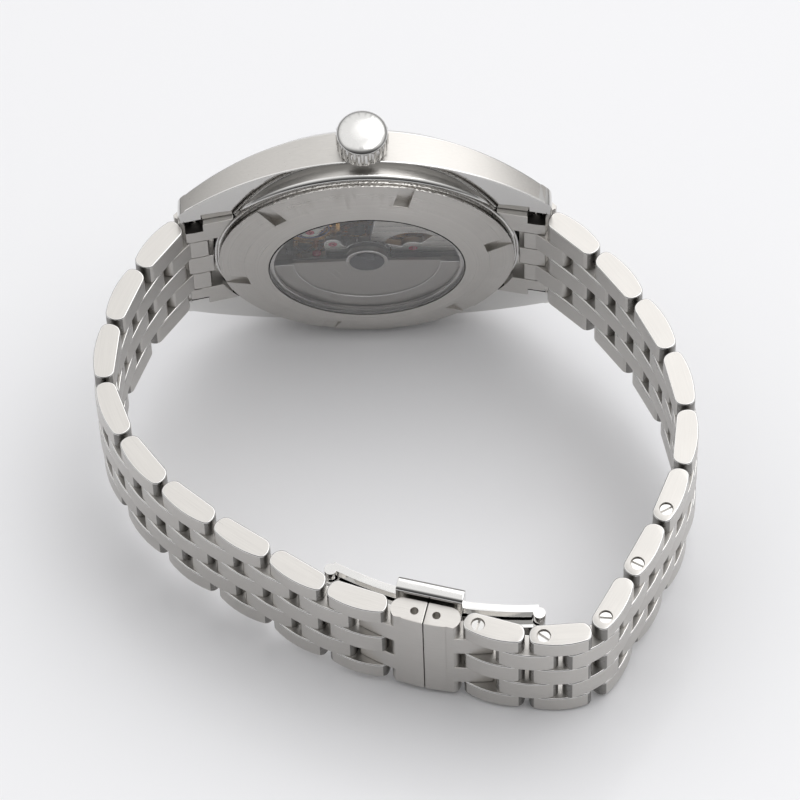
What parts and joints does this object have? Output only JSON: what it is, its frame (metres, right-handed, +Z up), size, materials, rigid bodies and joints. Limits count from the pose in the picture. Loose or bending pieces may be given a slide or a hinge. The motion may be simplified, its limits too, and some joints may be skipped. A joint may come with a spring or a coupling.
{
  "type": "skeleton wristwatch",
  "caption": "Automatic wristwatch on its side: round steel head with window back, open dial, fluted crown, five-row link bracelet closed by a double-folding clasp.",
  "frame": {"origin": "point on the table under the middle of the bounding box, with the watch lying on its 9 o'clock side", "axes": "+X to 12 o'clock, +Y out of the dial side, +Z up (3 o'clock side, crown up); the loop axis leans 10.0 degrees, as the watch rests"},
  "size_m": [0.073, 0.07, 0.044],
  "materials": {
    "satin_steel": "brushed",
    "polished_steel": "polished",
    "glass": "clear",
    "seal": "matt",
    "dial_dark": "satin",
    "movement_metal": "striped",
    "blued_steel": "polished",
    "ruby": "polished",
    "gilt": "gilt"
  },
  "bodies": {
    "head": {"case_middle": "satin_steel", "bezel": "polished_steel", "front_crystal": "glass", "gaskets": "seal", "dial": "dial_dark", "back_ring": "satin_steel", "back_crystal": "glass", "casing_ring": "movement_metal", "main_plate": "movement_metal", "barrel_bridge": "movement_metal", "train_bridge": "movement_metal", "balance_cock": "movement_metal", "bridge_screws": "blued_steel", "jewels": "ruby", "spring_bars": "polished_steel", "end_links": "satin_steel", "hairspring": "blued_steel"},
    "clutch": {"clutch_wheel": "polished_steel"},
    "crown": {"crown": "polished_steel", "winding_stem": "polished_steel"},
    "rotor": {"rotor": "movement_metal"},
    "barrel": {"barrel": "gilt"},
    "minutes": {"centre_wheel": "gilt", "minute_hand": "polished_steel"},
    "hours": {"hour_wheel": "gilt", "hour_hand": "polished_steel"},
    "motion_work": {"minute_wheel": "gilt"},
    "third": {"third_wheel": "gilt"},
    "seconds": {"fourth_wheel": "gilt", "seconds_hand": "blued_steel"},
    "escape": {"escape_wheel": "gilt"},
    "pallets": {"pallet_fork": "polished_steel"},
    "balance": {"balance_wheel": "gilt"},
    "link_12h_01": {"link_12h_01": "satin_steel"},
    "link_12h_02": {"link_12h_02": "satin_steel"},
    "link_12h_03": {"link_12h_03": "satin_steel"},
    "link_12h_04": {"link_12h_04": "satin_steel"},
    "link_12h_05": {"link_12h_05": "satin_steel"},
    "link_12h_06": {"link_12h_06": "satin_steel"},
    "link_12h_07": {"link_12h_07": "satin_steel"},
    "link_12h_08": {"link_12h_08": "satin_steel"},
    "link_12h_09": {"link_12h_09": "satin_steel"},
    "link_12h_10": {"link_12h_10": "satin_steel"},
    "clasp_wing_12h": {"clasp_wing_12h": "satin_steel"},
    "link_6h_01": {"link_6h_01": "satin_steel"},
    "link_6h_02": {"link_6h_02": "satin_steel"},
    "link_6h_03": {"link_6h_03": "satin_steel"},
    "link_6h_04": {"link_6h_04": "satin_steel"},
    "link_6h_05": {"link_6h_05": "satin_steel"},
    "link_6h_06": {"link_6h_06": "satin_steel"},
    "link_6h_07": {"link_6h_07": "satin_steel"},
    "link_6h_08": {"link_6h_08": "satin_steel"},
    "link_6h_09": {"link_6h_09": "satin_steel"},
    "clasp_wing_6h": {"clasp_wing_6h": "satin_steel"},
    "clasp_leaf_6h": {"clasp_leaf_6h": "polished_steel"},
    "clasp_plate": {"clasp_plate": "polished_steel"},
    "clasp_leaf_12h": {"clasp_leaf_12h": "polished_steel"},
    "clasp_button_3h": {"clasp_button_3h": "polished_steel"},
    "clasp_button_9h": {"clasp_button_9h": "polished_steel"}
  },
  "joints": [
    {"name": "crown_turn", "type": "hinge", "parent": "head", "child": "clutch", "pos_m": [-0.00324, 0.02603, 0.03189], "axis": [0, -0.1741, 0.9847], "continuous": true},
    {"name": "crown_pull", "type": "slide", "parent": "clutch", "child": "crown", "axis": [0, -0.1741, 0.9847], "range_m": [0, 0.0011]},
    {"name": "rotor_spin", "type": "hinge", "parent": "head", "child": "rotor", "pos_m": [-0.00324, 0.02428, 0.0194], "axis": [0, 0.9847, 0.1741], "continuous": true},
    {"name": "minute_turn", "type": "hinge", "parent": "head", "child": "minutes", "pos_m": [-0.00324, 0.02723, 0.01992], "axis": [0, 0.9847, 0.1741], "continuous": true},
    {"name": "barrel_turn", "type": "hinge", "parent": "head", "child": "barrel", "pos_m": [0.0025, 0.02656, 0.02083], "axis": [0, 0.9847, 0.1741], "continuous": true},
    {"name": "third_turn", "type": "hinge", "parent": "head", "child": "third", "pos_m": [-0.00694, 0.02725, 0.01694], "axis": [0, 0.9847, 0.1741], "continuous": true},
    {"name": "seconds_turn", "type": "hinge", "parent": "head", "child": "seconds", "pos_m": [-0.00944, 0.02674, 0.01983], "axis": [0, 0.9847, 0.1741], "continuous": true},
    {"name": "escape_turn", "type": "hinge", "parent": "head", "child": "escape", "pos_m": [-0.00739, 0.02632, 0.02224], "axis": [0, 0.9847, 0.1741], "continuous": true},
    {"name": "motion_work_turn", "type": "hinge", "parent": "head", "child": "motion_work", "pos_m": [-0.00204, 0.02835, 0.02223], "axis": [0, 0.9847, 0.1741], "continuous": true},
    {"name": "hour_turn", "type": "hinge", "parent": "head", "child": "hours", "pos_m": [-0.00324, 0.02901, 0.02023], "axis": [0, 0.9847, 0.1741], "continuous": true},
    {"name": "pallet_rock", "type": "hinge", "parent": "head", "child": "pallets", "pos_m": [-0.00883, 0.02603, 0.02388], "axis": [0, 0.9847, 0.1741], "range_deg": [-5, 5]},
    {"name": "balance_swing", "type": "hinge", "parent": "head", "child": "balance", "pos_m": [-0.01011, 0.02508, 0.0252], "axis": [0, 0.9847, 0.1741], "range_deg": [-140, 140], "deforming": ["hairspring"]},
    {"name": "link_12h_01_pivot", "type": "hinge", "parent": "head", "child": "link_12h_01", "pos_m": [0.02086, 0.02251, 0.01909], "axis": [0, -0.1741, 0.9847], "range_deg": [-3.84, 0]},
    {"name": "link_12h_02_pivot", "type": "hinge", "parent": "link_12h_01", "child": "link_12h_02", "pos_m": [0.02645, 0.01688, 0.01809], "axis": [0, -0.1741, 0.9847], "range_deg": [-3.36, 0]},
    {"name": "link_12h_03_pivot", "type": "hinge", "parent": "link_12h_02", "child": "link_12h_03", "pos_m": [0.03093, 0.01037, 0.01694], "axis": [0, -0.1741, 0.9847], "range_deg": [0, 5.04]},
    {"name": "link_12h_04_pivot", "type": "hinge", "parent": "link_12h_03", "child": "link_12h_04", "pos_m": [0.03408, 0.00314, 0.01566], "axis": [0, -0.1741, 0.9847], "range_deg": [0, 3.36]},
    {"name": "link_12h_05_pivot", "type": "hinge", "parent": "link_12h_04", "child": "link_12h_05", "pos_m": [0.03517, -0.00464, 0.01429], "axis": [0, -0.1741, 0.9847], "range_deg": [0, 3.36]},
    {"name": "link_12h_06_pivot", "type": "hinge", "parent": "link_12h_05", "child": "link_12h_06", "pos_m": [0.0337, -0.01236, 0.01292], "axis": [0, -0.1741, 0.9847], "range_deg": [0, 4.86]},
    {"name": "link_12h_07_pivot", "type": "hinge", "parent": "link_12h_06", "child": "link_12h_07", "pos_m": [0.03042, -0.01954, 0.01165], "axis": [0, -0.1741, 0.9847], "range_deg": [0, 9.24]},
    {"name": "link_12h_08_pivot", "type": "hinge", "parent": "link_12h_07", "child": "link_12h_08", "pos_m": [0.0265, -0.02641, 0.01044], "axis": [0, -0.1741, 0.9847], "range_deg": [0, 6.58]},
    {"name": "link_12h_09_pivot", "type": "hinge", "parent": "link_12h_08", "child": "link_12h_09", "pos_m": [0.02105, -0.03184, 0.00948], "axis": [0, -0.1741, 0.9847], "range_deg": [0, 3.58]},
    {"name": "link_12h_10_pivot", "type": "hinge", "parent": "link_12h_09", "child": "link_12h_10", "pos_m": [0.01309, -0.03151, 0.00953], "axis": [0, -0.1741, 0.9847], "range_deg": [0, 3.36]},
    {"name": "clasp_wing_12h_pivot", "type": "hinge", "parent": "link_12h_10", "child": "clasp_wing_12h", "pos_m": [0.00928, -0.03031, 0.00975], "axis": [0, -0.1741, 0.9847], "range_deg": [-10.55, 0]},
    {"name": "link_6h_01_pivot", "type": "hinge", "parent": "head", "child": "link_6h_01", "pos_m": [-0.02734, 0.02251, 0.01909], "axis": [0, -0.1741, 0.9847], "range_deg": [0, 8.79]},
    {"name": "link_6h_02_pivot", "type": "hinge", "parent": "link_6h_01", "child": "link_6h_02", "pos_m": [-0.03196, 0.01609, 0.01795], "axis": [0, -0.1741, 0.9847], "range_deg": [0, 3.36]},
    {"name": "link_6h_03_pivot", "type": "hinge", "parent": "link_6h_02", "child": "link_6h_03", "pos_m": [-0.0347, 0.00872, 0.01665], "axis": [0, -0.1741, 0.9847], "range_deg": [-4.35, 0]},
    {"name": "link_6h_04_pivot", "type": "hinge", "parent": "link_6h_03", "child": "link_6h_04", "pos_m": [-0.03484, 0.00089, 0.01526], "axis": [0, -0.1741, 0.9847], "range_deg": [-5.12, 0]},
    {"name": "link_6h_05_pivot", "type": "hinge", "parent": "link_6h_04", "child": "link_6h_05", "pos_m": [-0.03167, -0.00632, 0.01399], "axis": [0, -0.1741, 0.9847], "range_deg": [-7.39, 0]},
    {"name": "link_6h_06_pivot", "type": "hinge", "parent": "link_6h_05", "child": "link_6h_06", "pos_m": [-0.02657, -0.01237, 0.01292], "axis": [0, -0.1741, 0.9847], "range_deg": [-8.91, 0]},
    {"name": "link_6h_07_pivot", "type": "hinge", "parent": "link_6h_06", "child": "link_6h_07", "pos_m": [-0.02033, -0.01729, 0.01205], "axis": [0, -0.1741, 0.9847], "range_deg": [-10.25, 0]},
    {"name": "link_6h_08_pivot", "type": "hinge", "parent": "link_6h_07", "child": "link_6h_08", "pos_m": [-0.01372, -0.02173, 0.01126], "axis": [0, -0.1741, 0.9847], "range_deg": [-3.36, 0]},
    {"name": "link_6h_09_pivot", "type": "hinge", "parent": "link_6h_08", "child": "link_6h_09", "pos_m": [-0.00686, -0.02575, 0.01055], "axis": [0, -0.1741, 0.9847], "range_deg": [-3.36, 0]},
    {"name": "clasp_wing_6h_pivot", "type": "hinge", "parent": "link_6h_09", "child": "clasp_wing_6h", "pos_m": [-0.00311, -0.02713, 0.01031], "axis": [0, -0.1741, 0.9847], "range_deg": [0, 12]},
    {"name": "clasp_leaf_6h_pivot", "type": "hinge", "parent": "clasp_wing_6h", "child": "clasp_leaf_6h", "pos_m": [0.00178, -0.02838, 0.01009], "axis": [0, -0.1741, 0.9847], "range_deg": [-19.31, 0]},
    {"name": "clasp_open", "type": "hinge", "parent": "clasp_leaf_6h", "child": "clasp_plate", "pos_m": [-0.0082, -0.02122, 0.01135], "axis": [0, -0.1741, 0.9847], "range_deg": [0, 42]},
    {"name": "clasp_leaf_12h_pivot", "type": "hinge", "parent": "clasp_plate", "child": "clasp_leaf_12h", "pos_m": [0.01665, -0.02759, 0.01023], "axis": [0, -0.1741, 0.9847], "range_deg": [0, 37.8]},
    {"name": "button_3h_press", "type": "slide", "parent": "clasp_plate", "child": "clasp_button_3h", "axis": [0, 0.1741, -0.9847], "range_m": [0, 0.0007], "stiffness_N_per_m": 1000, "springref_m": -0.0006},
    {"name": "button_9h_press", "type": "slide", "parent": "clasp_plate", "child": "clasp_button_9h", "axis": [0, -0.1741, 0.9847], "range_m": [0, 0.0007], "stiffness_N_per_m": 1000, "springref_m": -0.0006}
  ],
  "couplings": [
    {"joint": "link_12h_01_pivot", "follows": "clasp_open", "ratio": -0.091384},
    {"joint": "link_12h_02_pivot", "follows": "clasp_open", "ratio": -0.08},
    {"joint": "link_12h_03_pivot", "follows": "clasp_open", "ratio": 0.1201},
    {"joint": "link_12h_04_pivot", "follows": "clasp_open", "ratio": 0.080032},
    {"joint": "link_12h_05_pivot", "follows": "clasp_open", "ratio": 0.08},
    {"joint": "link_12h_06_pivot", "follows": "clasp_open", "ratio": 0.1157},
    {"joint": "link_12h_07_pivot", "follows": "clasp_open", "ratio": 0.22003},
    {"joint": "link_12h_08_pivot", "follows": "clasp_open", "ratio": 0.15675},
    {"joint": "link_12h_09_pivot", "follows": "clasp_open", "ratio": 0.085168},
    {"joint": "link_12h_10_pivot", "follows": "clasp_open", "ratio": 0.08},
    {"joint": "clasp_wing_12h_pivot", "follows": "clasp_open", "ratio": -0.25107},
    {"joint": "link_6h_01_pivot", "follows": "clasp_open", "ratio": 0.20929},
    {"joint": "link_6h_02_pivot", "follows": "clasp_open", "ratio": 0.080001},
    {"joint": "link_6h_03_pivot", "follows": "clasp_open", "ratio": -0.10361},
    {"joint": "link_6h_04_pivot", "follows": "clasp_open", "ratio": -0.1219},
    {"joint": "link_6h_05_pivot", "follows": "clasp_open", "ratio": -0.1759},
    {"joint": "link_6h_06_pivot", "follows": "clasp_open", "ratio": -0.21215},
    {"joint": "link_6h_07_pivot", "follows": "clasp_open", "ratio": -0.24399},
    {"joint": "link_6h_08_pivot", "follows": "clasp_open", "ratio": -0.08},
    {"joint": "link_6h_09_pivot", "follows": "clasp_open", "ratio": -0.08},
    {"joint": "clasp_wing_6h_pivot", "follows": "clasp_open", "ratio": 0.28571},
    {"joint": "clasp_leaf_6h_pivot", "follows": "clasp_open", "ratio": -0.45969},
    {"joint": "clasp_leaf_12h_pivot", "follows": "clasp_open", "ratio": 0.90001},
    {"joint": "barrel_turn", "follows": "minute_turn", "ratio": -0.14286},
    {"joint": "third_turn", "follows": "minute_turn", "ratio": -8},
    {"joint": "seconds_turn", "follows": "minute_turn", "ratio": 60},
    {"joint": "escape_turn", "follows": "minute_turn", "ratio": -600},
    {"joint": "motion_work_turn", "follows": "minute_turn", "ratio": -0.33333},
    {"joint": "hour_turn", "follows": "minute_turn", "ratio": 0.083333}
  ]
}
